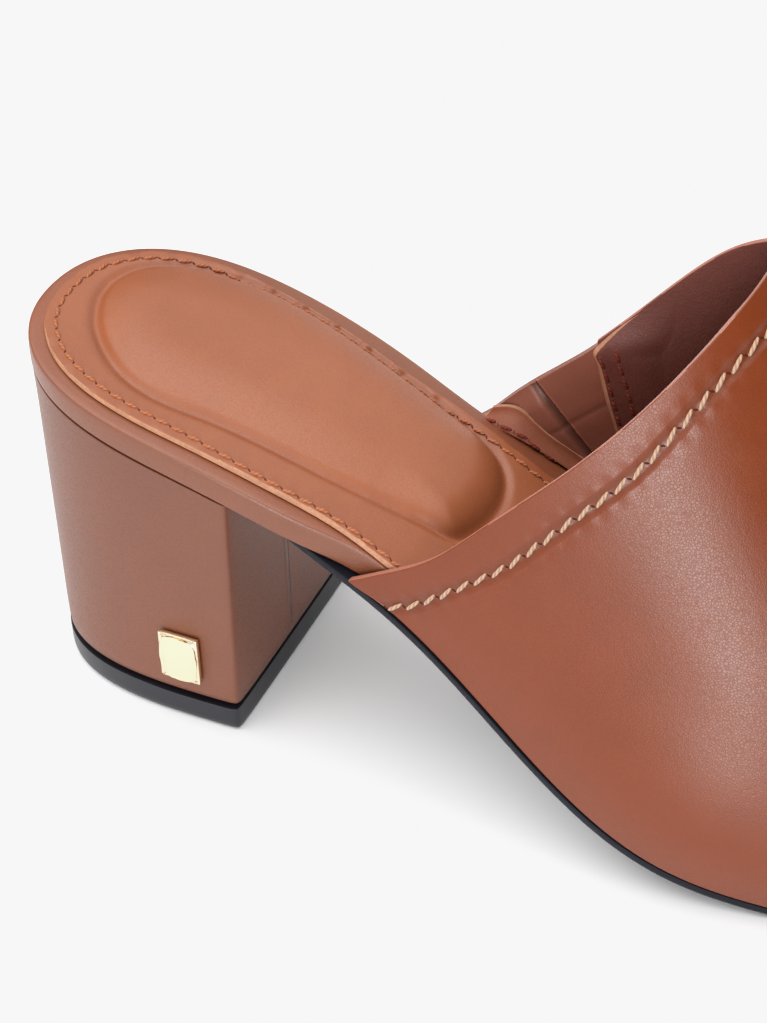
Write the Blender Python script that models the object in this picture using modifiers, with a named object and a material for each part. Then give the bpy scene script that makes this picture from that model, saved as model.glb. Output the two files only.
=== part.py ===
"""Block heel mule, right shoe: leather upper on a thin outsole, with a wrapped insole board and block heel.

The shoe stands along +X, heel at the back and toe in front. +Z is up, the lateral side is -Y and the
medial side is +Y. The origin is the centre of the heel's top piece, on the floor. Lengths are metres.
"""

import math

import bmesh
import bpy
import numpy as np
from mathutils import Matrix, Vector

# Driving sizes
LENGTH = 0.232  # back of the insole board to the tip of the toe, measured level
SEAT_HEIGHT = 0.0722  # top of the board above the floor, at the back of the heel
BALL_HALF_WIDTH = 0.0375
INSTEP_HEIGHT = 0.0845  # along the leaning section, from the outsole to the crest at the throat
TOE_SHIFT = 0.005  # how far the toe's tip lies to the medial side
TOE_SPRING = 0.0059  # rise of the toe's tip over the flat of the sole

# Layers and walls
GAP = 0.0003  # left between pieces that touch
SLANTED_GAP = 0.00039  # the same gap, measured level across a slanted join
OUTSOLE = 0.0020
BOARD = 0.0052
SOCK = 0.0010
WALL = 0.0020  # leather and lining of the upper
GORE_WALL = 0.0014
GORE_INSET = 0.0005  # the gore lies this far inside the skin of the upper
GORE_DROP = 0.0006  # and its top edge this much further forward than the collar's line
TAB_WALL = 0.0010
TAB_HEIGHT = 0.0033  # above the board
WAIST_INSET = 0.0004  # the upper's foot stands this far inside the outsole's edge at the waist
BALL_OVERHANG = 0.0007  # and this far over it round the ball and toe
FOOT_TUCK = 0.0006  # the wall turns in by this much where it meets the sole
SWELL = 0.0016  # the sides stand out over the foot by this much
BOARD_INSET = WALL + WAIST_INSET + 2 * GAP
BOARD_ROUND = 0.0010  # radius of the board's upper edge
SOLE_ROUND = 0.0005
SWELL_START = 0.012  # the swell is whole at this height over the foot
SWELL_FADE = 0.022  # it fades over this height
SWELL_END = 0.035  # and is gone at this one
TUCK_HEIGHT = 0.003  # the foot's tuck is gone at this height
SOLE_TUCK = 0.0036  # the sole starts this far inside the board's edge, at the breast

# Heel
HEEL_DEPTH = 0.0469  # back to breast, at the floor
HEEL_HALF_WIDTH = 0.0293
HEEL_BACK = 0.0026  # set in from the back of the board, at the floor
HEEL_TOP_BACK = 0.0003  # set in from the back of the board, at the board
BREAST_LEAN = 0.0010  # the breast is this much further forward at the board
HEEL_CORNER = 0.0012
HEEL_ROUND = 0.0004
TOP_PIECE = 0.0055

# Padded seat of the sock
PAD_BACK = 0.0120
PAD_FRONT = 0.0890
PAD_HALF_WIDTH = 0.0195
PAD_OFFSET = 0.0022  # of its centre line to the medial side
PAD_RISE = 0.0028
PAD_TAPER = 0.30  # narrower by this share at its front end
PAD_TAPER_START = 0.3  # share of its front where the taper starts
PAD_TAPER_RUN = 0.65
PAD_SQUARENESS = 3.0
PAD_SLOPE = 0.0075  # width of the slope from the flat of the sock to the top of the pad

# Plate on the heel
PLATE_WIDTH = 0.0084
PLATE_HEIGHT = 0.0108
PLATE_THICKNESS = 0.0012
PLATE_FROM_BREAST = 0.0068
PLATE_ABOVE_TOP_PIECE = 0.0105  # to its centre
PLATE_ROUND = 0.0004

# Round ends of the outline, as shares of the length
LATERAL_SEAT_FULLNESS = 2.5
MEDIAL_SEAT_FULLNESS = 2.9
SEAT_TIP_FULLNESS = 2.15
HEEL_BACK_FULLNESS = 3.36  # of the heel's round back, at the floor
HEEL_TIP_FULLNESS = 2.69
TOE_FRONT_FULLNESS = 2.2
RIDGE_POWER = 1.5  # how late the wall leans to its crest
SEAT_ROUND = 0.172
LATERAL_TOE_ROUND = 0.711
MEDIAL_TOE_ROUND = 0.810
TOE_DROP = 0.862  # where the toe's front begins to come down

# Where things meet along the length
FLAT_START = 0.716
FLAT_END = 0.810
SOLE_TUCK_END = 0.312  # the sole reaches its full width here
BOARD_STEP = 0.299  # the board begins to narrow on its lateral side, to go inside the upper
BOARD_STEP_RUN = 0.017
MEDIAL_STEP_AFTER = 0.013  # and begins later on its medial side
SOCK_BACK_MARGIN = 0.0035  # board left bare round the sock, at the back
SOCK_WAIST_MARGIN = 0.0055  # at the waist, on the medial side
SOCK_GORE_MARGIN = 0.0098  # and beside the gore
SOCK_GORE_START = 0.30
SOCK_GORE_RUN = 0.12
SOCK_GORE_FADE = 0.25
SOCK_DENSE = 1.04  # the sock's stations are denser up to this share of the pad's front
BALL_START = 0.42  # the upper begins to stand over the sole here
BALL_RUN = 0.2
SIDE_START = 0.32  # and its sides begin to swell here
SIDE_RUN = 0.25
SHIFT_START = 0.6  # the centre line begins to bend to the medial side

GOLD = (0.86, 0.70, 0.45)
TAN = (0.42, 0.155, 0.075)
DARK_TAN = (0.30, 0.10, 0.05)
SEAT_TAN = (0.50, 0.20, 0.115)
INK = (0.028, 0.031, 0.043)


def table(columns, rows):
    """The columns of a table, by name."""
    return dict(zip(columns.split(), np.array(rows, float).T))


# Height of the board's top. The climb is a share of the height from the flat of the forefoot to the seat.
PROFILE = table(
    "at climb",
    (
        (0.000, 1.000),
        (0.129, 0.902),
        (0.216, 0.816),
        (0.302, 0.695),
        (0.345, 0.621),
        (0.388, 0.534),
        (0.431, 0.427),
        (0.474, 0.314),
        (0.517, 0.211),
        (0.560, 0.129),
        (0.603, 0.072),
        (0.655, 0.026),
        (0.716, 0.000),
    ),
)

# Half widths of the outsole, as shares of the ball's, before the round ends take their part away.
OUTLINE = table(
    "at lateral medial",
    (
        (0.000, 0.755, 0.747),
        (0.172, 0.755, 0.733),
        (0.216, 0.757, 0.709),
        (0.259, 0.749, 0.675),
        (0.302, 0.739, 0.645),
        (0.345, 0.769, 0.660),
        (0.388, 0.818, 0.702),
        (0.431, 0.881, 0.742),
        (0.474, 0.949, 0.782),
        (0.517, 1.013, 0.820),
        (0.560, 1.058, 0.860),
        (0.603, 1.065, 0.900),
        (0.647, 1.036, 0.936),
        (0.716, 0.983, 0.963),
        (0.776, 0.963, 0.949),
        (0.862, 0.952, 0.905),
        (1.000, 0.944, 0.880),
    ),
)

# Sections of the last. Each stands on the outsole and leans forward by some degrees. Height is a share of
# the instep's, crest is how far the ridge lies to the medial side as a share of the ball's half width, and
# fullness is the section's exponent: 2 is an ellipse and more is boxier.
LAST = table(
    "at lean height crest fullness",
    (
        (0.259, 20.0, 1.018, 0.16, 2.10),
        (0.366, 25.0, 1.018, 0.23, 2.15),
        (0.431, 26.0, 1.000, 0.27, 2.15),
        (0.496, 25.0, 0.940, 0.28, 2.15),
        (0.560, 21.5, 0.862, 0.27, 2.15),
        (0.625, 16.5, 0.775, 0.24, 2.15),
        (0.690, 11.0, 0.680, 0.21, 2.15),
        (0.754, 6.0, 0.586, 0.19, 2.20),
        (0.819, 2.5, 0.500, 0.17, 2.20),
        (0.884, 0.0, 0.414, 0.15, 2.20),
        (0.940, 0.0, 0.349, 0.13, 2.15),
        (1.000, 0.0, 0.284, 0.13, 2.10),
    ),
)

# The collar, from the lateral end at the sole over the instep to the medial end at the sole. Round is the
# share of the way over the foot, and at is where the leaning section stands along the length.
COLLAR = table(
    "round at",
    (
        (0.000, 0.3180),
        (0.030, 0.3475),
        (0.080, 0.3702),
        (0.150, 0.3927),
        (0.230, 0.4120),
        (0.310, 0.4234),
        (0.400, 0.4303),
        (0.480, 0.4323),
        (0.555, 0.4307),
        (0.640, 0.4228),
        (0.712, 0.4084),
        (0.765, 0.3983),
        (0.826, 0.3868),
        (0.880, 0.3738),
        (0.940, 0.3530),
        (1.000, 0.3285),
    ),
)
GORE_TOP = 0.885  # share of the way over the foot where the gore begins at the collar
GORE_FOOT = 0.455  # where its front edge meets the sole
GORE_TIP = 0.985  # share of the way over the foot of its rear corner
TAB_START = 0.342  # the tab inside the gore runs from here
TAB_END = 0.418

# Numbers of faces
OUTLINE_STEPS = 34
HEEL_STEPS = 18
SOCK_STEPS = 26
HEEL_LEVELS = 4
UPPER_ROWS = 28
UPPER_COLUMNS = 40
GORE_ROWS = 12
GORE_COLUMNS = 8
TAB_ROWS = 10


def spline(knots, values, at, last_slope=None):
    """A cubic spline through a table's column, with free ends unless the last end's slope is given."""
    count = len(knots)
    step = np.diff(knots)
    rise = np.diff(values) / step
    matrix = np.eye(count)
    bend = np.zeros(count)
    for row in range(1, count - 1):
        matrix[row, row - 1 : row + 2] = step[row - 1], 2 * (step[row - 1] + step[row]), step[row]
        bend[row] = 6 * (rise[row] - rise[row - 1])
    if last_slope is not None:
        matrix[-1, -2:] = step[-1], 2 * step[-1]
        bend[-1] = 6 * (last_slope - rise[-1])
    bend = np.linalg.solve(matrix, bend)
    at = np.clip(at, knots[0], knots[-1])
    left = np.clip(np.searchsorted(knots, at) - 1, 0, count - 2)
    width = step[left]
    ahead = (knots[left + 1] - at) / width
    behind = 1 - ahead
    straight = ahead * values[left] + behind * values[left + 1]
    curved = (ahead**3 - ahead) * bend[left] + (behind**3 - behind) * bend[left + 1]
    return straight + curved * width**2 / 6


def read(rows, column, x):
    """A column of a table at a distance x from the back of the board."""
    return spline(rows["at"], rows[column], np.asarray(x, float) / LENGTH)


def ease(share):
    """From 0 to 1 with level ends."""
    share = np.clip(share, 0, 1)
    return share * share * (3 - 2 * share)


FLAT_HEIGHT = OUTSOLE + GAP + BOARD


def board_top(x):
    """Height of the board's top at a distance x from its back."""
    share = np.asarray(x, float) / LENGTH
    climb = spline(PROFILE["at"], PROFILE["climb"], np.minimum(share, FLAT_START), last_slope=0)
    toe = np.clip((share - FLAT_END) / (1 - FLAT_END), 0, 1) ** 2
    return FLAT_HEIGHT + (SEAT_HEIGHT - FLAT_HEIGHT) * climb + TOE_SPRING * toe


def slope_of_board(x):
    reach = 0.0005
    return (board_top(x + reach) - board_top(x - reach)) / (2 * reach)


def below_board(x, depth):
    """Height of a layer that lies under the board's top by a depth measured square to it."""
    return board_top(x) - depth * np.sqrt(1 + slope_of_board(x) ** 2)


def round_end(share, inner, outer):
    """Share of the width left at an end, from 1 where it starts to 0 at its tip."""
    return (1 - np.clip(share, 0, 1) ** inner) ** (1 / outer)


def centre_line(x):
    return TOE_SHIFT * ease((x / LENGTH - SHIFT_START) / (1 - SHIFT_START))


def edge(x, side):
    """The outline's y on the lateral side, -1, or the medial side, +1."""
    share = x / LENGTH
    column, seat, toe_start = (
        ("lateral", LATERAL_SEAT_FULLNESS, LATERAL_TOE_ROUND)
        if side < 0
        else ("medial", MEDIAL_SEAT_FULLNESS, MEDIAL_TOE_ROUND)
    )
    width = BALL_HALF_WIDTH * read(OUTLINE, column, x)
    width = width * round_end((SEAT_ROUND - share) / SEAT_ROUND, seat, SEAT_TIP_FULLNESS)
    width = width * round_end((share - toe_start) / (1 - toe_start), 2, 2)
    return centre_line(x) + side * width


def upper_skin(x, turn):
    """A point on the outer skin of the last: x along the sole, turn from 0, lateral, to 1, medial."""
    x, turn = np.broadcast_arrays(np.asarray(x, float), np.asarray(turn, float))
    share = x / LENGTH
    lean = np.radians(read(LAST, "lean", x))
    power = 2 / read(LAST, "fullness", x)
    drop = round_end((share - TOE_DROP) / (1 - TOE_DROP), TOE_FRONT_FULLNESS, TOE_FRONT_FULLNESS)
    at_ball = ease((share - BALL_START) / BALL_RUN)
    overhang = (BALL_OVERHANG + WAIST_INSET) * at_ball - WAIST_INSET
    middle = (edge(x, 1) + edge(x, -1)) / 2
    half = (edge(x, 1) - edge(x, -1)) / 2 + overhang * drop
    side = np.where(turn < 0.5, -1, 1)
    rise = np.sin(math.pi * turn) ** power
    up = INSTEP_HEIGHT * read(LAST, "height", x) * drop * rise
    swollen = ease(up / SWELL_START) * ease((SWELL_END - up) / SWELL_FADE)
    bulge = SWELL * swollen * ease((share - SIDE_START) / SIDE_RUN)
    bulge = bulge - FOOT_TUCK * (1 - ease(up / TUCK_HEIGHT)) * at_ball
    ridge = (BALL_HALF_WIDTH * read(LAST, "crest", x) - middle) * drop
    y = middle + side * half * np.abs(np.cos(math.pi * turn)) ** power + ridge * rise**RIDGE_POWER
    y = y + side * bulge * drop
    z = below_board(x, BOARD) + up * np.cos(lean)
    return np.stack([x + up * np.sin(lean), y, z], axis=-1)


def inside_skin(x, turn, depth):
    """A point at a depth under the outer skin, measured square to it."""
    reach = 1e-4
    inner = np.clip(turn, reach, 1 - reach)
    along = upper_skin(x + reach, inner) - upper_skin(x - reach, inner)
    over = upper_skin(x, inner + reach) - upper_skin(x, inner - reach)
    square = np.cross(over, along)
    square /= np.linalg.norm(square, axis=-1)[..., None]
    return upper_skin(x, turn) + square * depth


def turn_at(x, up):
    """The turn on the medial side where the skin is a height up its section."""
    share = up / (INSTEP_HEIGHT * read(LAST, "height", x))
    return 1 - np.arcsin(share ** (read(LAST, "fullness", x) / 2)) / math.pi


def inset(points, distance):
    """Plan points moved square to their closed outline, inwards by a distance."""
    along = np.roll(points, -1, axis=0) - np.roll(points, 1, axis=0)
    square = np.stack([-along[:, 1], along[:, 0]], axis=1)
    square /= np.linalg.norm(square, axis=1)[:, None]
    ahead = np.roll(points, -1, axis=0)
    turning = np.sum(points[:, 0] * ahead[:, 1] - points[:, 1] * ahead[:, 0])
    return points + math.copysign(1, turning) * square * np.reshape(distance, (-1, 1))


def layer(points, depth):
    """Plan points laid at a depth under the board's top."""
    return np.column_stack([points, below_board(points[:, 0], depth)])


def end_stations(first, last, count):
    """Distances along the shoe, closer together towards both ends."""
    return first + (last - first) * (1 - np.cos(np.linspace(0, math.pi, count + 1))) / 2


def full_outline(stations):
    """Plan points from the back tip along the lateral side to the toe, and back along the medial side."""
    lateral = np.column_stack([stations, edge(stations, -1)])
    medial = np.column_stack([stations, edge(stations, 1)])
    return np.concatenate([lateral, medial[-2:0:-1]])


def board_outline(stations):
    """The board has the outsole's outline at the seat, and steps in to go inside the upper."""
    points = full_outline(stations)
    start = BOARD_STEP + MEDIAL_STEP_AFTER * (points[:, 1] > 0)
    inside = ease((points[:, 0] / LENGTH - start) / BOARD_STEP_RUN)
    return inset(points, BOARD_INSET * inside)


def straight_end(start, end, across):
    """Points between two corners of a straight end."""
    shares = np.linspace(0, 1, across + 1)[1:-1, None]
    return start + (end - start) * shares


def seat_width(x, side, level):
    """Half width of the heel at a level from 0, the floor, to 1, the board."""
    depth = HEEL_BACK + HEEL_DEPTH - x
    floor = HEEL_HALF_WIDTH * round_end(depth / HEEL_DEPTH, HEEL_BACK_FULLNESS, HEEL_TIP_FULLNESS)
    return (1 - level) * side * floor + level * edge(x, side)


def heel_ring(level, across):
    """Plan points of the heel: back tip, lateral side, straight breast, medial side."""
    back = (1 - level) * HEEL_BACK
    breast = HEEL_BACK + HEEL_DEPTH + level * BREAST_LEAN
    reach = breast - HEEL_CORNER - back
    stations = back + reach * (1 - np.cos(np.linspace(0, math.pi / 2, HEEL_STEPS + 1)))
    sides = []
    for side in (-1, 1):
        y = seat_width(stations, side, level)
        corner = [
            (breast - 0.3 * HEEL_CORNER, y[-1] - side * 0.3 * HEEL_CORNER),
            (breast, y[-1] - side * HEEL_CORNER),
        ]
        sides.append(np.concatenate([np.column_stack([stations, y]), corner]))
    lateral, medial = sides
    ring = np.concatenate([lateral, straight_end(lateral[-1], medial[-1], across), medial[:0:-1]])
    ring[:, 0] += level * HEEL_TOP_BACK * (breast - ring[:, 0]) / (breast - back)
    return ring


def principled(name, colour, roughness, metallic=0.0):
    material = bpy.data.materials.new(name)
    material.use_nodes = True
    material.diffuse_color = (*colour, 1)
    shader = material.node_tree.nodes["Principled BSDF"]
    shader.inputs["Base Color"].default_value = (*colour, 1)
    shader.inputs["Roughness"].default_value = roughness
    shader.inputs["Metallic"].default_value = metallic
    return material


def add_object(name, shape, finish, collection):
    """A mesh object of a bmesh, moved from the board's back to the shoe's origin."""
    bmesh.ops.translate(shape, verts=shape.verts, vec=(-HEEL_BACK - HEEL_DEPTH / 2, 0, 0))
    mesh = bpy.data.meshes.new(name)
    shape.to_mesh(mesh)
    shape.free()
    mesh.shade_smooth()
    mesh.set_sharp_from_angle(angle=math.radians(40))
    mesh.materials.append(principled(name, *finish))
    made = bpy.data.objects.new(name, mesh)
    collection.objects.link(made)
    return made


def cap(shape, ring, across, straight, relief):
    """Closes a ring with strips from its lateral to its medial side."""
    pairs = (len(ring) - across - 1) // 2 if straight else len(ring) // 2 - 1
    rows = []
    for step in range(1, pairs + 1):
        start, end = ring[step], ring[-step]
        row = [start]
        for share in np.linspace(0, 1, across + 1)[1:-1]:
            place = start.co.lerp(end.co, share)
            place.z += relief(place.x, place.y)
            row.append(shape.verts.new(place))
        rows.append([*row, end])
    if straight:
        rows.append(ring[pairs + 1 : pairs + across + 2])
    for near, far in zip(rows[:-1], rows[1:]):
        for k in range(across):
            shape.faces.new((near[k], near[k + 1], far[k + 1], far[k]))
    tips = [(ring[0], rows[0])] if straight else [(ring[0], rows[0]), (ring[len(ring) // 2], rows[-1])]
    for tip, row in tips:
        for k in range(across):
            shape.faces.new((tip, row[k], row[k + 1]))


def stack(name, rings, finish, collection, across=1, straight=False, relief=None):
    """A closed solid through outline rings, the lowest first, with strips over its two ends."""
    shape = bmesh.new()
    loops = [[shape.verts.new(point) for point in ring] for ring in rings]
    for low, high in zip(loops[:-1], loops[1:]):
        for k in range(len(low)):
            after = (k + 1) % len(low)
            shape.faces.new((low[k], low[after], high[after], high[k]))
    cap(shape, loops[0], across, straight, lambda x, y: 0)
    cap(shape, loops[-1], across, straight, relief or (lambda x, y: 0))
    bmesh.ops.recalc_face_normals(shape, faces=shape.faces)
    return add_object(name, shape, finish, collection)


def shell(name, grid, wall, finish, collection):
    """An open grid of points, rows along the shoe and columns over it, given its wall inwards."""
    shape = bmesh.new()
    verts = [[shape.verts.new(point) for point in row] for row in grid]
    for near, far in zip(verts[:-1], verts[1:]):
        for k in range(len(near) - 1):
            shape.faces.new((near[k], near[k + 1], far[k + 1], far[k]))
    bmesh.ops.remove_doubles(shape, verts=shape.verts, dist=1e-6)
    bmesh.ops.reverse_faces(shape, faces=shape.faces)
    made = add_object(name, shape, finish, collection)
    solidify = made.modifiers.new("Wall", "SOLIDIFY")
    solidify.thickness = wall
    solidify.offset = -1
    solidify.use_even_offset = True
    return made


def make_outsole(collection):
    """A thin sole from the heel's breast to the toe, with its flat under the ball of the foot."""
    start = HEEL_BACK + HEEL_DEPTH + BREAST_LEAN + GAP
    stations = start + (LENGTH - start) * np.sin(np.linspace(0, math.pi / 2, OUTLINE_STEPS + 1))
    stations = stations[::-1]
    tuck = SOLE_TUCK * (1 - ease((stations - start) / (SOLE_TUCK_END * LENGTH - start)))
    lateral = np.column_stack([stations, edge(stations, -1) + tuck])
    medial = np.column_stack([stations, edge(stations, 1) - tuck])
    across = 4
    end = straight_end(lateral[-1], medial[-1], across)
    points = np.concatenate([lateral, end, medial[:0:-1]])
    rings = [
        layer(inset(points, SOLE_ROUND), FLAT_HEIGHT),
        layer(points, FLAT_HEIGHT - SOLE_ROUND),
        layer(points, BOARD + GAP),
    ]
    stack("outsole", rings, (INK, 0.55), collection, across, straight=True)


def make_board(collection):
    """The insole board in its leather wrap, from the back of the heel to the toe."""
    points = board_outline(end_stations(0, LENGTH, OUTLINE_STEPS))
    rings = [
        layer(points, BOARD),
        layer(points, BOARD_ROUND),
        layer(inset(points, 0.3 * BOARD_ROUND), 0.3 * BOARD_ROUND),
        layer(inset(points, BOARD_ROUND), 0),
    ]
    stack("insole_board", rings, (TAN, 0.5), collection, across=4)


def pad_relief(x, y):
    """Rise of the padded seat over the sock, from the board's back and centre line."""
    middle = (PAD_BACK + PAD_FRONT) / 2
    taper = 1 - PAD_TAPER * ease((x / PAD_FRONT - PAD_TAPER_START) / PAD_TAPER_RUN)
    along = abs(x - middle) / (PAD_FRONT - middle)
    aside = abs(y - PAD_OFFSET) / (PAD_HALF_WIDTH * taper)
    inside = 1 - (along**PAD_SQUARENESS + aside**PAD_SQUARENESS) ** (1 / PAD_SQUARENESS)
    return PAD_RISE * float(ease(inside * PAD_HALF_WIDTH / PAD_SLOPE))


def make_sock(collection):
    """The leather sock on the board, with its raw edge inside the board's and a padded seat."""
    seat = np.linspace(0, SOCK_DENSE * PAD_FRONT, SOCK_STEPS + 1)
    back = seat[1] * (1 - np.cos(np.linspace(0, math.pi / 2, 5)))
    left = LENGTH - seat[-1]
    front = seat[-1] + left * np.sin(np.linspace(0, math.pi / 2, SOCK_STEPS // 2)[1:])
    points = full_outline(np.concatenate([back[:-1], seat[1:], front]))
    share = points[:, 0] / LENGTH
    margin = SOCK_BACK_MARGIN + (SOCK_WAIST_MARGIN - SOCK_BACK_MARGIN) * ease(share / BOARD_STEP)
    lateral = ease(share / BOARD_STEP) * (points[:, 1] < 0) * ease((1 - share) / SOCK_GORE_FADE)
    margin -= (SOCK_WAIST_MARGIN - SOCK_BACK_MARGIN) * lateral
    by_gore = ease((share - SOCK_GORE_START) / SOCK_GORE_RUN) * (points[:, 1] > 0)
    margin += (SOCK_GORE_MARGIN - SOCK_WAIST_MARGIN) * by_gore * ease((1 - share) / SOCK_GORE_FADE)
    points = inset(points, margin)
    rings = [layer(points, -GAP), layer(points, -GAP - SOCK)]
    stack("sock", rings, (SEAT_TAN, 0.5), collection, across=16, relief=pad_relief)


def make_heel(collection):
    """The wrapped block heel, from the top piece up to the underside of the board."""
    across = 4
    levels = np.linspace(0, 1, HEEL_LEVELS + 1)
    rings = []
    foot = TOP_PIECE + GAP
    for level in levels:
        points = heel_ring(level, across)
        top = below_board(points[:, 0], BOARD + GAP)
        rings.append(np.column_stack([points, foot + level * (top - foot)]))
    first = rings[0].copy()
    first[:, :2] = inset(first[:, :2], HEEL_ROUND)
    rings[0][:, 2] += HEEL_ROUND
    stack("heel_block", [first, *rings], (TAN, 0.45), collection, across, straight=True)


def make_top_piece(collection):
    """The rubber top piece that the heel walks on."""
    across = 4
    points = heel_ring(0, across)
    floor = np.zeros(len(points))
    rings = [
        np.column_stack([inset(points, SOLE_ROUND), floor]),
        np.column_stack([points, floor + SOLE_ROUND]),
        np.column_stack([points, floor + TOP_PIECE]),
    ]
    stack("top_piece", rings, (INK, 0.5), collection, across, straight=True)


def rear_edge(turn):
    """Where the upper starts along the length: at the collar, or at the gore's front edge."""
    collar = spline(COLLAR["round"], COLLAR["at"], turn)
    top = spline(COLLAR["round"], COLLAR["at"], GORE_TOP)
    join = top + (GORE_FOOT - top) * (turn - GORE_TOP) / (1 - GORE_TOP)
    return LENGTH * np.where(turn <= GORE_TOP, collar, join)


def make_upper(collection):
    """The vamp, one wall from the collar to the toe, standing on the outsole."""
    split = round(UPPER_COLUMNS * GORE_TOP)
    over = np.linspace(0, GORE_TOP, split + 1)
    medial = np.linspace(GORE_TOP, 1, UPPER_COLUMNS - split + 1)
    turn = np.concatenate([over, medial[1:]])
    start = rear_edge(turn)
    forward = np.sin(np.linspace(0, math.pi / 2, UPPER_ROWS + 1))[:, None]
    x = start + (LENGTH - start) * forward
    shell("upper", upper_skin(x, turn), WALL, (TAN, 0.42), collection)


def make_gore(collection):
    """The leather-covered elastic panel on the medial side, behind the vamp."""
    back = np.linspace(0, 1, GORE_ROWS + 1)[:, None]
    up = np.linspace(0, 1, GORE_COLUMNS + 1)
    top_turn = GORE_TIP + (GORE_TOP - GORE_TIP) * back
    turn = 1 + (top_turn - 1) * up
    low = spline(COLLAR["round"], COLLAR["at"], 1.0)
    high = spline(COLLAR["round"], COLLAR["at"], top_turn)
    foot = low + (GORE_FOOT - low) * back
    at = LENGTH * (foot + (high - foot) * up) - SLANTED_GAP
    at = at + GORE_DROP * up * (1 - back)
    grid = inside_skin(at, turn, GORE_INSET)
    shell("gore", grid, GORE_WALL, (TAN, 0.5), collection)


def make_tab(collection):
    """The raw-edged leather strip inside the gore, standing on the edge of the board."""
    x = LENGTH * np.linspace(TAB_START, TAB_END, TAB_ROWS + 1)[:, None]
    lean = np.radians(read(LAST, "lean", x))
    above = board_top(x) - below_board(x, BOARD) + GAP + TAB_HEIGHT * np.linspace(0, 1, 3)
    up = above / (np.cos(lean) - slope_of_board(x) * np.sin(lean))
    grid = inside_skin(x, turn_at(x, up), GORE_INSET + GORE_WALL + GAP)
    shell("gore_tab", grid, TAB_WALL, (TAN, 0.5), collection)


def make_plate(collection):
    """A small plain metal plate on the lateral side of the heel, near the breast."""
    x = HEEL_BACK + HEEL_DEPTH - PLATE_FROM_BREAST - PLATE_WIDTH / 2
    foot = TOP_PIECE + GAP
    z = foot + PLATE_ABOVE_TOP_PIECE

    def side_point(x, z):
        level = (z - foot) / (below_board(x, BOARD + GAP) - foot)
        return Vector((x, float(seat_width(x, -1, level)), z))

    centre = side_point(x, z)
    reach = PLATE_WIDTH / 2
    forward = (side_point(x + reach, z) - side_point(x - reach, z)).normalized()
    rise = (side_point(x, z + reach) - side_point(x, z - reach)).normalized()
    out = forward.cross(rise).normalized()
    shape = bmesh.new()
    bmesh.ops.create_cube(shape, size=1)
    bmesh.ops.scale(shape, verts=shape.verts, vec=(PLATE_WIDTH, PLATE_HEIGHT, PLATE_THICKNESS))
    bmesh.ops.bevel(
        shape, geom=shape.edges, offset=PLATE_ROUND, segments=2, profile=0.5, affect="EDGES"
    )
    turn = Matrix((forward, rise, out)).transposed().to_4x4()
    place = Matrix.Translation(centre + out * (GAP + PLATE_THICKNESS / 2)) @ turn
    bmesh.ops.transform(shape, matrix=place, verts=shape.verts)
    add_object("heel_plate", shape, (GOLD, 0.25, 1.0), collection)


def main():
    for old in list(bpy.data.objects):
        bpy.data.objects.remove(old, do_unlink=True)
    collection = bpy.data.collections.new("block_heel_mule")
    bpy.context.scene.collection.children.link(collection)
    make_top_piece(collection)
    make_heel(collection)
    make_outsole(collection)
    make_board(collection)
    make_sock(collection)
    make_upper(collection)
    make_gore(collection)
    make_tab(collection)
    make_plate(collection)


if __name__ == "__main__":
    main()
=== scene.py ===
"""Block heel mule: leather, raw edges, stitching and studio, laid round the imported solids."""

import math

import bmesh
import bpy
import numpy as np
from bpy.props import FloatProperty, FloatVectorProperty, PointerProperty
from mathutils import Matrix, Vector
from mathutils.bvhtree import BVHTree


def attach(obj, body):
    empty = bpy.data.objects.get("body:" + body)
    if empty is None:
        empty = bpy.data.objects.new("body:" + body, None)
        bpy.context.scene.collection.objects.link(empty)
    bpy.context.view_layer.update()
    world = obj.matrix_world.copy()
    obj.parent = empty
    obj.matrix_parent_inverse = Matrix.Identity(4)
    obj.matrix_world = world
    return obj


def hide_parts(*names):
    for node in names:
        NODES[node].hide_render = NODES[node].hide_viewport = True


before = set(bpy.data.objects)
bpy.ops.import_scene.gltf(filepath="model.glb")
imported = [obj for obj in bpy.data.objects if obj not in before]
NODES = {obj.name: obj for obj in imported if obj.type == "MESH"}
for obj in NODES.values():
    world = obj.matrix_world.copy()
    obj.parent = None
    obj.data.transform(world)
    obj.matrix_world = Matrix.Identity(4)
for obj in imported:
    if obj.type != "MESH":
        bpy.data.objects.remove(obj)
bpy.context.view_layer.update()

bl_info = {
    "name": "Block heel mule",
    "version": (1, 0, 0),
    "blender": (4, 5, 0),
    "location": "View3D > Sidebar > Mule",
    "description": "Makes the finished look of a block heel mule",
    "category": "Object",
}

MM = 0.001
WELD = 2e-6
SHARP = math.radians(50)  # edges that turn by more than this are rounded
UPRIGHT = 0.5  # a face whose normal rises less than this belongs to a wall

# The collar's wall is thinned above a height, by these shares on the medial and lateral sides.
COLLAR_FOOT = 0.014
COLLAR_THINNED = (0.5, 0.15)
COLLAR_RADIUS = 0.00035
# The vamp's rear tip curls away from the board, round a place in millimetres.
TIP = (47.5, -27.4, 44.0)
TIP_CURL_WIDTH = 0.006
TIP_CURL = (0.0, -0.0011, 0.0)
SEAM_PULL_WIDTH = 0.0012
# The gore: its rounding, the stretch of its front under the lining, and its folded step.
GORE_RADIUS = 0.0005
GORE_TOP_STEP = 0.002
GORE_FRONT = 0.058
GORE_SINK = 0.0006
GORE_STRETCH = 0.0013
FOLD_HEIGHT = 0.0006
FOLD_WIDTH = 0.0008
FOLD_RUN = 0.006
CREASE_DEPTH = 0.00010
CREASE_WIDTH = 0.0010
SWING = 0.0013  # how far the panel behind the fold leans in
FOLD_OFF = 0.1  # stands for far from the fold and the crease
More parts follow.
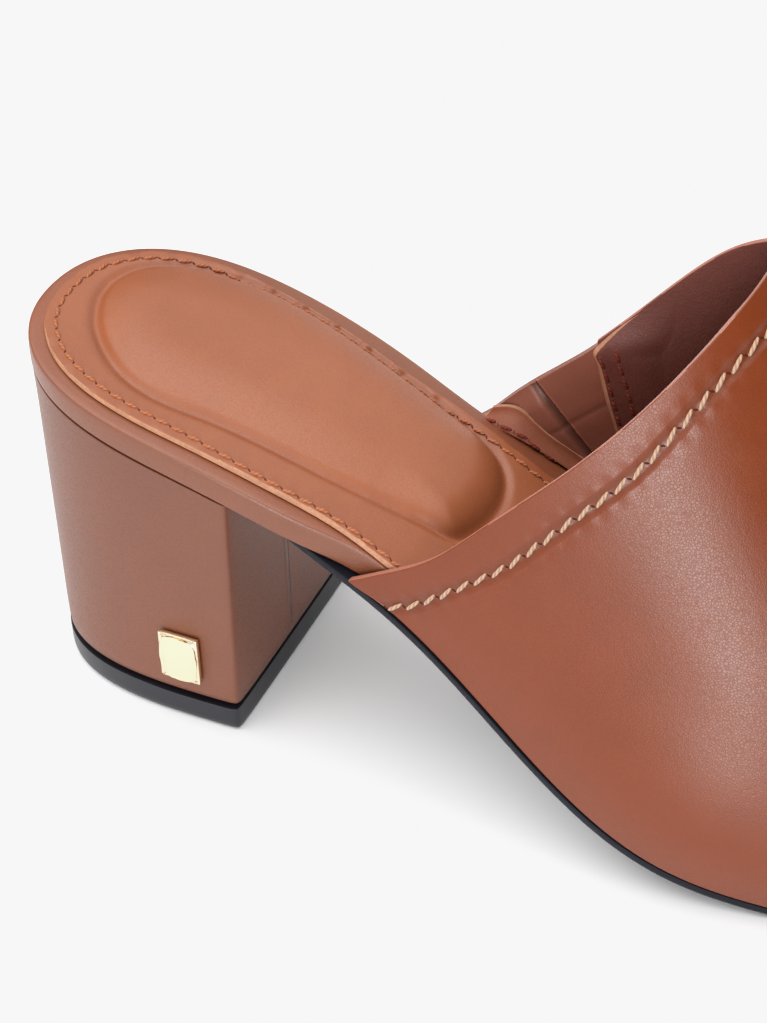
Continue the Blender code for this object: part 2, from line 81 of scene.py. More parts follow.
# The tab: its cut rear end, the rise behind its middle, and the way its foot is moved.
TAB_END = 0.0040
TAB_RISE = 0.0029
TAB_RISE_RUN = 0.006
TAB_CUT = 0.0044
TAB_PULL = 0.75
TAB_FOOT_SHIFT = (0, -0.0015, -0.00035)
# The lining's flap: rows and columns of its skins, and how far its back lies in the wall.
FLAP_ROWS = 60
FLAP_COLUMNS = 30
FLAP_ROUNDS = 12
FLAP_SUNK = 0.0006
# The sock: how its raw edge leans, and the slope and valley round its padded seat.
SOCK_LEAN = 0.0003
SOCK_DROP = 0.00026
SOCK_BORDER = 0.0012
PAD_SLOPE = 0.0125
PAD_FRONT_STEEPER = 0.0065
PAD_VALLEY = 0.0008
PAD_VALLEY_WIDTH = 0.0010
ROW_NEARER = 0.62  # share by which the sock's row nears the edge on the lateral side
ROW_END = 0.09  # the sock's row ends under the vamp
# Half length, width and height of the notch between stitches, in thicknesses of the thread. The notch is
# a needle hole with painted shadow.
NOTCH = (0.62, 0.27, 0.10)
# Camera, as fitted to the shoe's outlines.
CAMERA_PLACE = (0.203114, -0.335806, 0.338038)
CAMERA_RIGHT = (0.913517, 0.405058, -0.037624)
CAMERA_UP = (-0.227949, 0.586295, 0.777366)
CAMERA_BACK = (0.336937, -0.701560, 0.627923)
CAMERA_LENS = 90.12
CAMERA_SENSOR = 36
# Film curve that holds bright floor just under white: what goes in, and what comes out.
FILM_CURVE = ((0.90, 0.90), (0.95, 0.925), (1.0, 0.93))
FLOOR_SIZE = 30

# Lines drawn on the shoe, in millimetres from the middle of the heel's foot.
VAMP_SEAM = (
    (55.1, -28.6, 41.2),
    (60.0, -29.1, 43.4),
    (64.0, -29.2, 46.2),
    (67.8, -29.2, 49.2),
    (72.4, -28.9, 52.7),
    (76.8, -28.3, 56.1),
    (81.7, -27.1, 60.8),
    (87.7, -25.1, 67.0),
    (93.4, -22.6, 72.5),
    (98.3, -19.8, 77.6),
    (102.4, -16.2, 83.2),
    (106.4, -11.8, 88.7),
    (110.3, -6.4, 93.6),
    (113.0, -1.5, 96.6),
    (114.9, 4.7, 99.3),
    (115.4, 10.4, 100.1),
    (114.9, 15.6, 99.3),
    (113.4, 19.8, 97.0),
    (110.3, 23.0, 94.0),
    (105.6, 25.2, 90.2),
    (99.9, 26.6, 84.9),
    (95.2, 27.4, 78.5),
    (93.6, 28.2, 71.0),
    (94.2, 29.0, 63.2),
    (96.1, 30.6, 46.1),
    (97.3, 32.2, 32.7),
    (98.1, 32.5, 23.0),
    (98.5, 31.8, 16.5),
)
GORE_FOLD = (
    (62.6, 24.7, 57.4),
    (63.0, 24.7, 56.3),
    (64.4, 25.0, 54.2),
    (66.5, 25.5, 51.2),
    (68.7, 26.0, 47.9),
    (71.0, 26.5, 44.6),
    (72.9, 26.8, 41.9),
    (76.0, 27.0, 37.5),
)
BREAST_SEAM = -5.5 * MM
GORE_CREASE = (
    (65.2, 25.4, 44.6),
    (69.1, 26.0, 47.5),
    (72.9, 26.5, 50.5),
    (76.0, 26.9, 53.1),
)
# Rear and front edges of the lining where it laps over the gore: along the shoe and up.
FLAP_REAR = (
    (82.2, 75.5),
    (78.5, 71.7),
    (73.8, 65.6),
    (74.4, 62.7),
    (75.9, 54.4),
    (77.4, 48.6),
    (79.4, 41.0),
    (81.5, 34.0),
)
FLAP_FRONT = (
    (88.5, 82.5),
    (91.5, 78.0),
    (93.0, 72.0),
    (94.0, 66.0),
    (95.0, 58.0),
    (95.5, 50.0),
    (96.0, 42.0),
    (96.5, 34.0),
)
FLAP_ROW_REAR = (
    (75.4, 24.0, 65.0),
    (76.3, 24.4, 60.7),
    (77.4, 24.9, 55.4),
    (78.3, 25.3, 51.4),
    (79.6, 25.6, 45.0),
)
FLAP_ROW_FRONT = (
    (78.5, 24.3, 67.4),
    (79.4, 24.7, 62.2),
    (80.7, 25.3, 56.7),
    (81.6, 25.5, 51.5),
    (82.8, 25.7, 45.0),
)
TAB_ROW = (
    (52.6, 21.0, 48.4),
    (55.2, 21.6, 46.9),
    (58.3, 21.8, 46.0),
    (62.5, 22.2, 43.9),
    (64.9, 22.5, 41.0),
    (68.4, 23.0, 38.3),
)
# Foot of the padded seat, seen from above, round from its back.
PAD_FOOT = (
    (-12.4, -5.6),
    (-15.0, 0.2),
    (-15.7, 6.5),
    (-14.2, 11.9),
    (-10.5, 16.2),
    (-3.9, 19.7),
    (6.8, 21.7),
    (17.1, 21.4),
    (26.3, 20.1),
    (34.6, 18.5),
    (42.4, 17.2),
    (50.6, 15.7),
    (57.6, 13.9),
    (61.5, 11.0),
    (63.5, 6.4),
    (64.0, 0.4),
    (63.1, -6.0),
    (60.9, -11.0),
    (55.8, -12.1),
    (48.0, -13.7),
    (36.4, -15.4),
    (18.4, -16.4),
    (6.3, -17.4),
    (-2.4, -15.1),
    (-8.9, -10.0),
)
# Each soft light: its name, the way towards it, how wide it looks in degrees, its power.
SOFT_LIGHTS = (
    ("top", (-0.1, 0.0, 1.0), 80.0, 4.05),
    ("left", (-0.6, -0.6, 0.5), 60.0, 0.65),
    ("front", (0.14, -0.95, 0.22), 23.0, 2.2),
    ("back", (0.2, 1.0, 0.35), 50.0, 0.65),
)


class MuleSizes(bpy.types.PropertyGroup):
    seam_pitch: FloatProperty(
        name="Seam pitch",
        description="From one stitch of the vamp's seam to the next",
        default=0.0040,
        unit="LENGTH",
    )
    seam_thread: FloatProperty(
        name="Seam thread",
        description="Thickness of the vamp's thread",
        default=0.00078,
        unit="LENGTH",
    )
    row_pitch: FloatProperty(
        name="Row pitch",
        description="From one stitch of the fine rows to the next",
        default=0.0033,
        unit="LENGTH",
    )
    row_thread: FloatProperty(
        name="Row thread",
        description="Thickness of the fine thread",
        default=0.00072,
        unit="LENGTH",
    )
    row_margin: FloatProperty(
        name="Row margin",
        description="From the sock's raw edge to its row of stitches",
        default=0.0021,
        unit="LENGTH",
    )
    seam_depth: FloatProperty(
        name="Seam depth",
        description="How deep the vamp's seam pulls into the leather",
        default=0.00022,
        unit="LENGTH",
    )
    flap_thickness: FloatProperty(
        name="Flap thickness",
        description="Thickness of the lining's raw edge over the gore",
        default=0.0009,
        unit="LENGTH",
    )
    pad_rise: FloatProperty(
        name="Pad rise",
        description="Height of the padded seat over the sock",
        default=0.0028,
        unit="LENGTH",
    )
    grain: FloatProperty(
        name="Grain",
        description="Size of the leather's pebbles",
        default=0.00055,
        unit="LENGTH",
    )


def colour(name, description, default):
    return FloatVectorProperty(
        name=name, description=description, default=default, subtype="COLOR", min=0, max=1
    )


class MuleColours(bpy.types.PropertyGroup):
    vamp: colour("Vamp", "Leather of the vamp", (0.142, 0.026, 0.005))
    heel: colour("Heel", "Leather of the heel", (0.128, 0.035, 0.013))
    board: colour("Board", "Leather round the insole board", (0.205, 0.058, 0.023))
    sock: colour("Sock", "Leather of the sock", (0.268, 0.071, 0.023))
    lining: colour("Lining", "Leather inside the vamp", (0.105, 0.026, 0.018))
    gore: colour("Gore", "Leather over the elastic panel", (0.215, 0.066, 0.039))
    tab: colour("Tab", "Leather of the tab inside the gore", (0.26, 0.072, 0.033))
    raw_edge: colour("Raw edge", "Cut edges of the leather", (0.36, 0.16, 0.09))
    seam_thread: colour("Seam thread", "Thread of the vamp's seam", (0.42, 0.255, 0.170))
    row_thread: colour("Row thread", "Thread of the fine rows", (0.15, 0.023, 0.014))
    sock_thread: colour("Sock thread", "Thread of the sock's row", (0.34, 0.110, 0.050))
    sole: colour("Sole", "Rubber of the outsole and top piece", (0.006, 0.007, 0.011))
    plate: colour("Plate", "Metal of the heel's plate", (0.90, 0.74, 0.50))
    floor: colour("Floor", "Studio floor", (0.92, 0.92, 0.92))


def sizes():
    return bpy.context.scene.mule_sizes


def colours():
    return bpy.context.scene.mule_colours


# Shading


class Value:
    """A node's output that takes part in sums."""

    def __init__(self, finish, socket):
        self.finish = finish
        self.socket = socket

    def sum(self, operation, *values):
        return self.finish.node("ShaderNodeMath", {"operation": operation}, dict(enumerate(values)))

    def __add__(self, other):
        return self.sum("ADD", self, other)

    __radd__ = __add__

    def __mul__(self, other):
        return self.sum("MULTIPLY", self, other)

    __rmul__ = __mul__

    def __sub__(self, other):
        return self.sum("SUBTRACT", self, other)

    def __rsub__(self, other):
        return self.sum("SUBTRACT", other, self)

    def __abs__(self):
        return self.sum("ABSOLUTE", self)

    def cosine(self):
        return self.sum("COSINE", self)

    def fade(self, start, end):
        """Smoothly from 0 at the start to 1 at the end."""
        values = {"Value": self, "From Min": start, "From Max": end}
        return self.finish.node("ShaderNodeMapRange", {"interpolation_type": "SMOOTHSTEP"}, values)


class Finish:
    """A material and the nodes that make it."""

    def __init__(self, name, uniform):
        self.material = bpy.data.materials.new(name)
        self.material.use_nodes = True
        self.tree = self.material.node_tree
        self.shader = self.tree.nodes["Principled BSDF"]
        for socket, value in uniform.items():
            self.shader.inputs[socket].default_value = value

    def node(self, kind, settings, values, output=0):
        made = self.tree.nodes.new(kind)
        for name, setting in settings.items():
            setattr(made, name, setting)
        for socket, value in values.items():
            if isinstance(value, Value):
                self.tree.links.new(value.socket, made.inputs[socket])
            else:
                made.inputs[socket].default_value = value
        return Value(self, made.outputs[output])

    def place(self):
        return self.node("ShaderNodeTexCoord", {}, {}, "Object")

    def attribute(self, name):
        return self.node("ShaderNodeAttribute", {"attribute_name": name}, {}, "Vector")

    def parts(self, vector):
        """The X, Y and Z of a vector."""
        split = self.node("ShaderNodeSeparateXYZ", {}, {0: vector})
        return [Value(self, socket) for socket in split.socket.node.outputs]

    def noise(self, place, size, detail=2.0, roughness=0.5, distortion=0.0):
        values = {"Vector": place, "Scale": 1 / size, "Detail": detail}
        values |= {"Roughness": roughness, "Distortion": distortion}
        return self.node("ShaderNodeTexNoise", {}, values, "Fac")

    def cells(self, place, size):
        """0 on the lines between cells of a size."""
        values = {"Vector": place, "Scale": 1 / size}
        return self.node("ShaderNodeTexVoronoi", {"feature": "DISTANCE_TO_EDGE"}, values, "Distance")

    def blend(self, share, first, second):
        """Two colours mixed by a share."""
        return self.node("ShaderNodeMix", {"data_type": "RGBA"}, {0: share, 6: first, 7: second}, 2)

    def moved(self, vector, scale=(1, 1, 1), turn=(0, 0, 0)):
        return self.node("ShaderNodeMapping", {}, {"Vector": vector, "Rotation": turn, "Scale": scale})

    def relief(self, height, depth, under=None):
        """A bump of a height from 0 to 1 and a depth in metres."""
        values = {"Height": height, "Distance": depth, "Strength": 1.0}
        if under:
            values["Normal"] = under
        return self.node("ShaderNodeBump", {}, values)

    def feed(self, **sockets):
        for name, value in sockets.items():
            self.tree.links.new(value.socket, self.shader.inputs[name.replace("_", " ")])
        return self.material


def rgba(tone, light=1.0):
    return (*[min(1.0, part * light) for part in tone], 1.0)


def grained(finish, tone, roughness, grain, strength, mottle):
    """Colour, roughness and normal of leather with pebbles, in that order."""
    grain = grain or sizes().grain
    place = finish.place()
    broad = finish.noise(place, 0.045, 2.0)
    close = finish.noise(place, 0.006, 3.0, 0.6)
    shade = (broad * 0.65 + close * 0.35).fade(0.32, 0.68)
    tint = finish.blend(shade, rgba(tone, 1 - mottle), rgba(tone, 1 + mottle))
    bent = finish.moved(place, (1.0, 1.3, 1.0), (0.3, 0.2, 0.5))
    valleys = 1 - finish.cells(bent, grain).fade(0.0, 0.24)
    wrinkles = finish.noise(bent, grain * 2.2, 3.0, 0.62, 0.5)
    pores = finish.noise(place, grain * 0.4, 1.0)
    height = wrinkles * 0.8 + pores * 0.15 - valleys * 0.16
    # The grain's valleys are darkened: painted shade in the hollows between the pebbles.
    tint = finish.blend(valleys * 0.20, tint, rgba(tone, 0.6))
    rough = (close * 0.08 + valleys * 0.12) + (roughness - 0.06)
    bump = finish.relief(height, grain * 0.10 * strength)
    return tint, rough, bump


def smooth_leather(name, tone, roughness, strength=1.0, grain=None):
    finish = Finish(name, {"Specular IOR Level": 0.5})
    tint, rough, bump = grained(finish, tone, roughness, grain, strength, 0.08)
    return finish.feed(Base_Color=tint, Roughness=rough, Normal=bump)


def raw_leather(name, tone):
    """The fibrous cut edge of leather."""
    finish = Finish(name, {"Specular IOR Level": 0.3})
    place = finish.place()
    fibre = finish.noise(place, 0.0006, 3.0, 0.7)
    patch = finish.noise(place, 0.004, 2.0)
    tint = finish.blend((fibre * 0.6 + patch * 0.4).fade(0.3, 0.7), rgba(tone, 0.72), rgba(tone, 1.12))
    rough = fibre * 0.1 + 0.62
    return finish.feed(Base_Color=tint, Roughness=rough, Normal=finish.relief(fibre, 0.00012))


def seamed_leather(name, tone):
    """The vamp's leather, drawn in along the seam and puckered between its stitches, with painted shade
    in the seam's groove.
    """
    finish = Finish(name, {"Specular IOR Level": 0.34})
    tint, rough, bump = grained(finish, tone, 0.33, sizes().grain * 0.9, 0.75, 0.07)
    along, across, _ = finish.parts(finish.attribute("seam"))
    groove = 1 - abs(across).fade(0.0003, 0.0019)
    wave = (along * (2 * math.pi / sizes().seam_pitch)).cosine()
    pucker = (1 - abs(across).fade(0.0004, 0.0042)) * (wave * 0.5 + 0.5)
    bump = finish.relief(1 - (groove * 0.65 + pucker * 0.35), 0.00045, bump)
    # Painted shade: the leather is darkened along the seam's groove.
    tint = finish.blend(groove * 0.30, tint, rgba(tone, 0.45))
    return finish.feed(Base_Color=tint, Roughness=rough, Normal=bump)


def thread(name, tone, depth, dark):
    """Two twisted plies, painted lighter on their crowns and with painted shade between them: the
    attribute holds the turn round the stitch and the way along it.
    """
    finish = Finish(name, {"Specular IOR Level": 0.15})
    fibre = finish.noise(finish.place(), 0.0002, 3.0, 0.7)
    turn, along, _ = finish.parts(finish.attribute("ply"))
    twist = (turn * 2 + along * 9.0).cosine() * 0.5 + 0.5
    # Painted highlight on the plies' crowns and painted shade in the twist between them.
    lit = (twist * 0.75 + fibre * 0.25).fade(0.15, 0.75)
    tint = finish.blend(lit, rgba(tone, dark), rgba(tone, 1.15))
    bump = finish.relief(twist, depth)
    return finish.feed(Base_Color=tint, Roughness=fibre * 0.15 + 0.55, Normal=bump)


def rubber(name, tone, shine):
    finish = Finish(name, {"Specular IOR Level": shine})
    place = finish.place()
    fine = finish.noise(place, 0.0005, 3.0, 0.6)
    broad = finish.noise(place, 0.02, 2.0)
    tint = finish.blend((fine * 0.3 + broad * 0.7).fade(0.3, 0.7), rgba(tone, 0.85), rgba(tone, 1.2))
    bump = finish.relief(fine, 0.00002)
    return finish.feed(Base_Color=tint, Roughness=broad * 0.12 + 0.34, Normal=bump)


def polished(name, tone):
    finish = Finish(name, {"Metallic": 1.0})
    place = finish.place()
    brush = finish.noise(finish.moved(place, (1, 1, 14)), 0.0012, 2.0)
    tint = finish.blend(brush, rgba(tone, 0.94), rgba(tone, 1.04))
    bump = finish.relief(brush, 0.00001)
    return finish.feed(Base_Color=tint, Roughness=brush * 0.08 + 0.2, Normal=bump)


# The colour of a needle hole together with the painted shadow where the thread goes in.
def shadowed_hole(name, tone):
    finish = Finish(name, {"Specular IOR Level": 0.1})
    fine = finish.noise(finish.place(), 0.0004)
    tint = finish.blend(fine, rgba(tone, 0.6), rgba(tone, 1.3))
    return finish.feed(Base_Color=tint, Roughness=fine * 0.1 + 0.8)


def creased_leather(name, tone, depth):
    """Leather with a folded step and a faint crease: the attribute holds the way across each. Beside the
    step lies a painted shadow, in the crease painted shade, and on the step's edge a painted highlight.
    """
    finish = Finish(name, {"Specular IOR Level": 0.5})
    tint, rough, bump = grained(finish, tone, 0.45, None, 0.8, 0.14)
    fold, crease, _ = finish.parts(finish.attribute("folds"))
    shadow = fold.fade(-0.0019, -0.0003) * (1 - fold.fade(-0.0002, 0.0001))
    edge = fold.fade(-0.0001, 0.0002) * (1 - fold.fade(0.0002, 0.0008))
    line = 1 - abs(crease).fade(0.0001, 0.0009)
    height = edge * 0.5 - shadow * 0.5 - line * 0.12
    # Painted shadow beside the folded step.
    tint = finish.blend(shadow * 0.75, tint, rgba(tone, 0.16))
    # Painted shade along the crease.
    tint = finish.blend(line * 0.22, tint, rgba(tone, 0.3))
    # Painted highlight on the folded step's edge.
    tint = finish.blend(edge * 0.4, tint, rgba(tone, 2.0))
    return finish.feed(Base_Color=tint, Roughness=rough, Normal=finish.relief(height, depth, bump))


def breast_leather(name, tone, at):
    """The leather of the heel's breast, with the butted seam of its wrap."""
    finish = Finish(name, {"Specular IOR Level": 0.5})
    tint, rough, bump = grained(finish, tone, 0.45, None, 0.7, 0.08)
    _, aside, _ = finish.parts(finish.place())
    slit = 1 - abs(aside - at).fade(0.0001, 0.0005)
    lip = 1 - abs(aside - (at - 0.0007)).fade(0.0002, 0.0009)
    tint = finish.blend(slit * 0.7, tint, rgba(tone, 0.2))
    bump = finish.relief(lip * 0.5 - slit, 0.0003, bump)
    return finish.feed(Base_Color=tint, Roughness=rough, Normal=bump)


# Modelling


def merged(node):
    """A copy of a CAD node as one skin, mostly of four-sided faces."""
    shape = bmesh.new()
    shape.from_mesh(NODES[node].data)
    bmesh.ops.remove_doubles(shape, verts=shape.verts, dist=WELD)
    bmesh.ops.join_triangles(
        shape, faces=shape.faces, angle_face_threshold=0.7, angle_shape_threshold=3.1
    )
    return shape


def split_skins(shape, angle):
    """The shape's skins, parted where it turns by more than an angle, the largest first."""
    left = set(shape.faces)
    found = []
    while left:
        skin = {left.pop()}
        queue = list(skin)
        while queue:
            for edge in queue.pop().edges:
                if len(edge.link_faces) == 2 and edge.calc_face_angle() < angle:
                    for face in edge.link_faces:
                        if face in left:
                            left.remove(face)
                            skin.add(face)
                            queue.append(face)
        found.append(skin)
    return sorted(found, key=lambda skin: -sum(face.calc_area() for face in skin))


def round_edges(shape, angle, radius, segments=2):
    """Rounds the edges that turn by more than an angle, and gives the new faces."""
    sharp = [edge for edge in shape.edges if edge.is_manifold and edge.calc_face_angle() > angle]
    made = bmesh.ops.bevel(
        shape,
        geom=sharp,
        offset=radius,
        offset_type="OFFSET",
        segments=segments,
        profile=0.5,
        affect="EDGES",
        material=-1,
        clamp_overlap=True,
    )
    return made["faces"]


def subdivided(shape, levels):
    """The shape after smooth subdivision."""
    mesh = bpy.data.meshes.new("cage")
    shape.to_mesh(mesh)
    shape.free()
    cage = bpy.data.objects.new("cage", mesh)
    bpy.context.scene.collection.objects.link(cage)
    smooth = cage.modifiers.new("Smooth", "SUBSURF")
    smooth.levels = smooth.render_levels = levels
    fine = bmesh.new()
    fine.from_object(cage, bpy.context.evaluated_depsgraph_get())
    bpy.data.objects.remove(cage)
    bpy.data.meshes.remove(mesh)
    return fine


def piece(name, shape, finishes, replaced=()):
    """A finished object that rides on the shoe."""
    mesh = bpy.data.meshes.new(name)
    shape.to_mesh(mesh)
    shape.free()
    mesh.shade_smooth()
    for material in finishes:
        mesh.materials.append(material)
    made = bpy.data.objects.new(name, mesh)
    bpy.context.scene.collection.objects.link(made)
    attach(made, "root")
    if replaced:
        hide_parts(*replaced)
    return made


def drawn(points, rounds=4):
    """A smooth line through given points."""
    line = np.array(points, float) * MM
    for _ in range(rounds):
        ends = np.concatenate([2 * line[:1] - line[1:2], line, 2 * line[-1:] - line[-2:-1]])
        between = (9 * (ends[1:-2] + ends[2:-1]) - ends[:-3] - ends[3:]) / 16
        finer = np.empty((2 * len(line) - 1, line.shape[1]))
        finer[::2] = line
        finer[1::2] = between
        line = finer
    return line


def run_of(line):
    """How far along a line each of its points lies."""
    return np.concatenate([[0], np.cumsum(np.linalg.norm(np.diff(line, axis=0), axis=1))])


def spaced(line, step):
    """Points an even step apart on a line."""
    run = run_of(line)
    count = max(2, round(run[-1] / step))
    at = np.linspace(0, run[-1], count + 1)
    return np.stack([np.interp(at, run, column) for column in line.T], axis=1)


def beside(points, normals, line):
    """Where points lie beside a line: how far along it and how far across, both in metres."""
    step = 0.0004
    line = spaced(line, step)
    ahead = np.gradient(line, axis=0)
    ahead /= np.linalg.norm(ahead, axis=1)[:, None]
    run = run_of(line)
    along = np.empty(len(points))
    across = np.empty(len(points))
    for start in range(0, len(points), 2000):
        part = slice(start, start + 2000)
        away = points[part, None, :] - line[None, :, :]
        near = np.argmin(np.einsum("ijk,ijk->ij", away, away), axis=1)
        off = points[part] - line[near]
        forward = np.einsum("ij,ij->i", off, ahead[near])
        off -= forward[:, None] * ahead[near]
        side = np.einsum("ij,ij->i", off, np.cross(normals[part], ahead[near]))
        along[part] = run[near] + forward
        across[part] = np.copysign(np.linalg.norm(off, axis=1), side)
    return along, across


def arrays(shape):
    shape.normal_update()
    points = np.array([vert.co for vert in shape.verts])
    normals = np.array([vert.normal for vert in shape.verts])
    return points, normals


def shift(shape, normals, amount):
    """Moves each vertex along its normal."""
    for vert, normal, far in zip(shape.verts, normals, amount):
        vert.co += Vector(normal) * float(far)


def hump(distance, width):
    return np.exp(-((np.asarray(distance) / width) ** 2))


def ease(share):
    share = np.clip(share, 0, 1)
    return share * share * (3 - 2 * share)


def laid(points, tree):
    """Points dropped on the nearest surface, with the surface's normals."""
    found = [tree.find_nearest(Vector(point)) for point in points]
    return [hit[0] for hit in found], [hit[1] for hit in found]


def laid_line(points, tree):
    """A smooth line through given points, dropped on a surface."""
    return np.array(laid(spaced(drawn(points), 0.0008), tree)[0])


def rim_of(shape):
    """The upper rim of a flat piece, in order round it, seen from above."""
    rim = set()
    for edge in shape.edges:
        if edge.is_manifold and edge.calc_face_angle() > SHARP:
            if max(face.normal.z for face in edge.link_faces) > UPRIGHT:
                rim.update(edge.verts)
    points = np.array([vert.co for vert in rim])
    off = points - points.mean(axis=0)
    return points[np.argsort(np.arctan2(off[:, 1], off[:, 0]))]


def inside_by(loop, points):
    """How far points lie inside a closed line, seen from above; below nothing outside it."""
    ends = np.roll(loop, -1, axis=0)
    span = ends - loop
    away = points[:, None, :2] - loop[None, :, :2]
    share = np.clip((away * span[:, :2]).sum(2) / (span[:, :2] ** 2).sum(1), 0, 1)
    far = np.linalg.norm(away - share[..., None] * span[:, :2], axis=2).min(axis=1)
    above = (loop[None, :, 1] > points[:, None, 1]) != (ends[None, :, 1] > points[:, None, 1])
    level = span[:, 0] / np.where(span[:, 1] == 0, 1, span[:, 1])
    cross = loop[None, :, 0] + level * (points[:, None, 1] - loop[None, :, 1])
    odd = (above & (points[:, None, 0] < cross)).sum(axis=1) % 2
    return np.where(odd == 1, far, -far)


def stitch_row(name, line, tree, gauge, finishes):
    """A row of slanted stitches on a surface, with a dark notch at the end of each: a needle hole with
    painted shadow.

    The gauge holds the pitch, the thread's thickness and the look: the share of the pitch that a
    stitch fills, its slant, how far its middle rises, and how far the notch turns from it in degrees.
    """
    pitch, size, (length, slant, lift, notch) = gauge
    places, normals = laid(spaced(line, pitch / 2), tree)
    shape = bmesh.new()
    ply = shape.verts.layers.float_vector.new("ply")
    for k in range(1, len(places) - 1, 2):
        up = normals[k]
        forward = places[k + 1] - places[k - 1]
        forward = (forward - up * forward.dot(up)).normalized()
        forward = Matrix.Rotation(slant, 3, up) @ forward
        side = up.cross(forward)
        ball = bmesh.ops.create_uvsphere(shape, u_segments=10, v_segments=8, radius=1)
        for vert in ball["verts"]:
            x, y, z = vert.co
            turn = math.atan2(y, x)
            full = math.hypot(x, y) ** 0.55 * size / 2
            rise = full * math.sin(turn) * 0.9 + lift * (1 - z * z) - 0.10 * size
            vert[ply] = ((turn + math.pi / 2) % (2 * math.pi), z, 0)
            vert.co = places[k] + forward * (z * length * pitch / 2)
            vert.co += side * (full * math.cos(turn)) + up * rise
    for k in range(0, len(places), 2):
        up = normals[k]
        forward = places[min(k + 1, len(places) - 1)] - places[max(k - 1, 0)]
        forward = (forward - up * forward.dot(up)).normalized()
        along = Matrix.Rotation(slant - math.radians(notch), 3, up) @ forward
        side = up.cross(along)
        ball = bmesh.ops.create_uvsphere(shape, u_segments=8, v_segments=4, radius=1)
        for vert in ball["verts"]:
            x, y, z = vert.co
            vert.co = places[k] + along * (x * size * NOTCH[0])
            vert.co += side * (y * size * NOTCH[1]) + up * (z * size * NOTCH[2])
        for face in {face for vert in ball["verts"] for face in vert.link_faces}:
            face.material_index = 1
    bmesh.ops.recalc_face_normals(shape, faces=shape.faces)
    return piece(name, shape, finishes)


class Made:
    """Surfaces that later pieces are laid on."""

    vamp = None
    gore = None
    tab = None
    flap = None
    sock = None
    sock_rim = None


def tree_of(shape):
    return BVHTree.FromBMesh(shape)


class MULE_OT_vamp(bpy.types.Operator):
    """Makes the vamp, its lining and their rolled edge"""

    bl_idname = "mule.vamp"
    bl_label = "Vamp"

    def execute(self, context):
        tones = colours()
        shape = merged("upper")
        outer, inner = split_skins(shape, SHARP)[:2]
        for face in shape.faces:
            face.material_index = 0 if face in outer else 1 if face in inner else 2
        rim = {face for face in shape.faces if face.material_index == 2}
        outside = {vert for face in outer for vert in face.verts}
        for edge in {edge for face in rim for edge in face.edges}:
            ends = sorted(edge.verts, key=lambda vert: vert in outside)
            if ends[1] in outside and ends[0] not in outside and ends[0].co.z > COLLAR_FOOT:
                ends[0].co += (ends[1].co - ends[0].co) * COLLAR_THINNED[int(ends[0].co.y <= 0)]
        round_edges(shape, SHARP, COLLAR_RADIUS, 3)
        shape = subdivided(shape, 2)
        points, normals = arrays(shape)
        Made.vamp = tree_of(shape)
        along, across = beside(points, normals, laid_line(VAMP_SEAM, Made.vamp))
        curl = hump(np.linalg.norm(points - np.array(TIP) * MM, axis=1), TIP_CURL_WIDTH)
        points = points + curl[:, None] * np.array(TIP_CURL)
        for vert, point in zip(shape.verts, points):
            vert.co = point
        outside = {vert for face in shape.faces if face.material_index == 0 for vert in face.verts}
        is_out = np.array([vert in outside for vert in shape.verts])
        shift(shape, normals, -sizes().seam_depth * hump(across, SEAM_PULL_WIDTH) * is_out)
        seam = shape.verts.layers.float_vector.new("seam")
        for vert, run, off, out in zip(shape.verts, along, across, is_out):
            vert[seam] = (run, off if out else 1.0, 0.0)
        shape.normal_update()
        Made.vamp = tree_of(shape)
        finishes = [
            seamed_leather("vamp_leather", tones.vamp),
            smooth_leather("lining_leather", tones.lining, 0.5, 1.6, 0.0007),
            # The rolled edge takes a lighter copy of the vamp's leather: a painted highlight.
            smooth_leather("rolled_edge_highlight", [part * 1.9 + 0.07 for part in tones.vamp], 0.45, 0.6),
        ]
        piece("vamp", shape, finishes, ["upper"])
        return {"FINISHED"}


